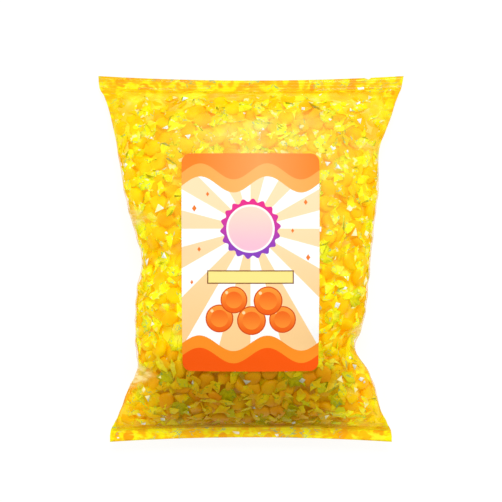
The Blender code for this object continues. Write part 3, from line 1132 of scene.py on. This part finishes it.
def scatter_corners(film, tree, draw, material):
    """Pale corners of wrapper that show here and there just under the film."""
    styles = []
    for width, sides in CORNER_STYLES:
        styles.append((*model_wrapper_corner(draw, width, sides), float(width < SLIVER_WIDTH)))
    forms = []
    for place, normal in zip(*scatter_on(film, draw, CORNER_COUNT)):
        shape, faces, green = styles[draw.integers(len(styles))]
        across = square_to(normal, draw)
        tipped = unit(normal + across * draw.uniform(-CORNER_TIP_OVER, CORNER_TIP_OVER))
        side = np.cross(tipped, across)
        turn = np.column_stack((np.cross(side, tipped), side, tipped))
        world = (shape * draw.uniform(*CORNER_SCALES)) @ turn.T + place - normal * CORNER_DEPTH
        world = press_inside(world, np.full(len(world), CORNER_CLEARANCE), tree)
        # Points towards each scrap's lower left side get a painted shadow
        lean = -world[:, 0] - world[:, 1]
        values = {
            "shade": end_shade(world),
            "green": np.full(len(world), green),
            "far_side": 0.7 * smooth(lean, np.median(lean), lean.max()),
        }
        forms.append((world, faces, values))
    return settle(join_forms("wrapper_corners", forms), material)


def candy_styles(draw):
    """The modelled candies by kind: points, faces, how far out on a fan each point is, and its pleat."""
    rings = {
        "lying": (WRAPPER_RINGS, WRAPPER_RINGS),
        "upright": (WRAPPER_RINGS, OPEN_FAN_RINGS),
        "fan": ((), WRAPPER_RINGS[3:]),
    }
    styles = {kind: [] for kind in rings}
    fans_from = DISC_RADIUS * 0.9
    for kind, count in CANDY_VERSIONS.items():
        for _ in range(count):
            places, faces = model_wrapped_candy(draw, *rings[kind])
            places = press_disc(places)
            out = np.clip((np.abs(places[:, 0]) - fans_from) / (FAN_TIP - fans_from), 0, 1)
            pleat = places[:, 1] / np.maximum(np.abs(places[:, 0]) - NECK * 0.8, 0.0015)
            if kind == "upright":
                places, pleat = pleat_open_fan(places)
            styles[kind].append((places, faces, out, pleat))
    return styles


def gathers(places):
    """How far the small pleats near the seals lift the film."""
    x, y, _ = places.T
    near = smooth(np.abs(y), *GATHERS_START) * (1 - smooth(np.abs(y), *GATHERS_END))
    wide = np.sin(x * WIDE_PLEATS + 2.2 * np.sin(x * WIDE_WANDER) + np.sign(y))
    fine = np.sin(x * FINE_PLEATS + 1.7 * np.sin(x * FINE_WANDER + 2) - np.sign(y))
    return GATHER_HEIGHT * near * (wide + 0.6 * fine)


def swell_film(film, lots):
    """Raises the film over each candy that presses on it, and pleats it near the seals."""
    mesh = film.data
    places, normals = points_of(mesh), normals_of(mesh)
    rise = np.zeros(len(places))
    finder = KDTree(len(places))
    for index, place in enumerate(places):
        finder.insert(place, index)
    finder.balance()
    for centre, _, normal, _ in lots:
        top = centre + normal * BUMP_REACH
        for _, index, gap in finder.find_range(top, BUMP_RADIUS * 1.6):
            bump = BUMP_HEIGHT * math.exp(-((gap / BUMP_RADIUS) ** 2) * BUMP_FALL)
            rise[index] = max(rise[index], bump)
    rise = (rise + gathers(places)) * np.where(places[:, 2] < REST_HEIGHT, 0, 1)
    places += normals * rise[:, None]
    places[:, 2] = np.maximum(places[:, 2], 0.0)
    set_points(mesh, places)


def span(tree, x, y):
    """The lowest and highest points of the bag on a vertical line, or nothing where the line misses it."""
    foot = tree.ray_cast(Vector((x, y, -0.3)), Vector((0, 0, 1)))[0]
    top = tree.ray_cast(Vector((x, y, 0.3)), Vector((0, 0, -1)))[0]
    return None if foot is None or top is None else (foot.z, top.z)


def bare_film(mesh, pieces):
    """How bare each point of the film is: 1 where nothing lies behind it, less along the thin rim."""
    trees = [tree_of(piece.data) for piece in pieces]
    places = points_of(mesh)
    bare = np.zeros(len(places))
    for index, (place, normal) in enumerate(zip(places, normals_of(mesh))):
        if not any(tree.ray_cast(Vector(place), Vector(-normal), NEAR_FILM)[0] for tree in trees):
            bare[index] = 1.0
    ends = np.array([edge.vertices[:] for edge in mesh.edges])
    spread = bare.copy()
    np.maximum.at(spread, ends[:, 0], bare[ends[:, 1]])
    np.maximum.at(spread, ends[:, 1], bare[ends[:, 0]])
    bag = tree_of(mesh)
    heights = [span(bag, x, y) or (0, 0) for x, y, _ in places]
    thickness = np.array([top - foot for foot, top in heights])
    sealed = 1 - smooth(thickness, *BARE_SEAL)
    rim = 0.75 * (1 - smooth(thickness, *BARE_RIM))
    return np.maximum(spread, np.where(np.abs(places[:, 1]) > SLACK_END_Y, sealed, rim))


def slack_folds(places):
    """How strongly each point of the film is folded, 0 where it is taut."""
    pinch = np.zeros(len(places))
    for y, side, half_length, half_height, strength in PINCHES:
        widest = places[outermost(places, y, side)]
        along = np.abs(places[:, 1] - y) / half_length
        rise = (places[:, 2] - widest[2] - PINCH_LIFT) / half_height
        lens = strength * (1 - smooth(along + rise**2, 0.2, 1.0)) * (places[:, 0] * side > 0)
        pinch = np.maximum(pinch, lens)
    return pinch


def mark_film(film, pieces):
    """Marks where the film is bare, slack, at the back or side, or shaded, for its material."""
    mesh = film.data
    places = points_of(mesh)
    upward = normals_of(mesh)[:, 2]
    set_attribute(mesh, "bare", bare_film(mesh, pieces))
    set_attribute(mesh, "pinch", slack_folds(places))
    set_attribute(mesh, "back", smooth(-upward, 0.0, 0.3))
    set_attribute(mesh, "side", smooth(-np.abs(upward), -0.45, -0.10))
    set_attribute(mesh, "shade", end_shade(places) * (np.abs(places[:, 1]) < SEAL_INNER_Y))


def model_core(tree):
    """The candies further in, as one form well inside the film and thin towards its edge."""
    core = copy_of_bag("core")
    bpy.ops.mesh.subdivide(number_cuts=1)
    bpy.ops.transform.resize(value=CORE_SCALE, center_override=CORE_MIDDLE)
    end_edit()
    places, normals = points_of(core.data), normals_of(core.data)
    for index, (x, y, _) in enumerate(places):
        while span(tree, x, y) is None:
            x *= 0.99
        foot, top = span(tree, x, y)
        half = (top - foot) / 2
        depth = CORE_EDGE_DEPTH + (CORE_DEPTH - CORE_EDGE_DEPTH) * smooth(half, *CORE_DEEPENS)
        share = np.clip(normals[index, 2] * 1.6, -1, 1)
        places[index] = (x, y, foot + half + share * max(half - depth, CORE_LEAST_HALF))
    set_points(core.data, places)
    core.data.shade_smooth()
    set_attribute(core.data, "shade", end_shade(places))
    return core


# ---------------------------------------------------------------- label


def model_label(tree):
    """A sheet with rounded corners, cut into a grid and draped on the film."""
    deselect_all()
    bpy.ops.mesh.primitive_plane_add(size=1.0, location=(0, 0, 0))
    label = bpy.context.object
    label.name = "label_sheet"
    edit(label)
    for width, sign in zip(LABEL_WIDTHS, (-1, 1)):
        select_points(label, lambda place: place.y * sign > 0)
        bpy.ops.transform.resize(value=(width, LABEL_LENGTH, 1), center_override=(0, 0, 0))
    bpy.ops.mesh.select_all(action="SELECT")
    bpy.ops.mesh.bevel(offset=LABEL_CORNER, segments=8, affect="VERTICES")
    bpy.ops.mesh.select_all(action="SELECT")
    bpy.ops.transform.translate(value=(*LABEL_CENTRE, 0))
    for axis, extent in ((0, max(LABEL_WIDTHS)), (1, LABEL_LENGTH)):
        count = int(extent / LABEL_CELL)
        for step in range(1, count):
            cut = [*LABEL_CENTRE, 0.0]
            cut[axis] += (step / count - 0.5) * extent
            normal = (1, 0, 0) if axis == 0 else (0, 1, 0)
            bpy.ops.mesh.select_all(action="SELECT")
            bpy.ops.mesh.bisect(plane_co=cut, plane_no=normal)
    end_edit(turn_out=True)
    places = points_of(label.data)
    for index, (x, y, _) in enumerate(places):
        places[index, 2] = span(tree, x, y)[1] + LABEL_LIFT
    set_points(label.data, places)
    edit(label)
    bpy.ops.mesh.vertices_smooth(factor=0.5, repeat=3, xaxis=False, yaxis=False)
    end_edit()
    thickness = label.modifiers.new("paper", "SOLIDIFY")
    thickness.thickness = LABEL_THICKNESS
    thickness.offset = 1.0
    bpy.ops.object.modifier_apply(modifier=thickness.name)
    bpy.ops.object.shade_smooth_by_angle(angle=math.radians(40))
    return label


# ---------------------------------------------------------------- stage


def area_light(name, place, size, power):
    light = bpy.data.lights.new(name, "AREA")
    light.shape = "SQUARE"
    light.size = size
    light.energy = power
    obj = new_object(name, light)
    obj.location = place
    obj.rotation_euler = (Vector(LIT_PLACE) - Vector(place)).to_track_quat("-Z", "Y").to_euler()


def build_stage():
    """The floor, the lights, the plain surroundings and the camera."""
    deselect_all()
    bpy.ops.mesh.primitive_plane_add(size=FLOOR_SIZE, location=(0, 0, 0))
    floor = bpy.context.object
    floor.name = "floor"
    floor.data.materials.append(floor_material())

    for light in LIGHTS:
        area_light(*light)

    world = bpy.data.worlds.new("studio")
    world.use_nodes = True
    background = world.node_tree.nodes["Background"]
    background.inputs["Color"].default_value = (1.0, 1.0, 1.0, 1.0)
    background.inputs["Strength"].default_value = WORLD_STRENGTH
    bpy.context.scene.world = world

    camera = bpy.data.cameras.new("camera")
    camera.lens = CAMERA_LENS
    camera.sensor_width = SENSOR_WIDTH
    view = new_object("camera", camera)
    view.location = CAMERA_PLACE
    bpy.context.scene.camera = view
    bpy.context.scene.view_settings.view_transform = "Standard"


def main():
    draw = np.random.default_rng(SEED)
    film = model_film()
    tree = tree_of(film.data)
    outer_crowd = Crowd(OUTER_SPACING)
    upright = lay_upright(film, tree, draw, outer_crowd)
    outer = lay_candies(film, tree, draw, outer_crowd, 0.0, OUTER_TILT)
    inner = lay_candies(film, tree, draw, Crowd(INNER_SPACING), INNER_DEPTH, INNER_TILT)
    swell_film(film, outer)
    tree = tree_of(film.data)
    styles = candy_styles(draw)
    gold, lemon, deep = (candy_material(kind) for kind in CANDY_COLOURS)
    pieces = [
        build_candies("candies_gold", outer[0::2], styles, tree, draw, gold),
        build_candies("candies_lemon", upright + outer[1::2], styles, tree, draw, lemon),
        build_candies("candies_deep", inner, styles, tree, draw, deep),
    ]
    fans = lay_fans(film, tree, draw, pieces) + lay_edge_fans(film, draw)
    pieces.append(build_candies("fans_between", fans, styles, tree, draw, gold))
    pieces.append(settle(model_core(tree), core_material()))
    mark_film(film, pieces)
    pieces.append(scatter_corners(film, tree, draw, wrapper_corner_material()))
    settle(film, film_material())
    for piece in (film, *pieces):
        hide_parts("bag")
    label = settle(model_label(tree), label_material())
    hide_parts("label")
    build_stage()


main()
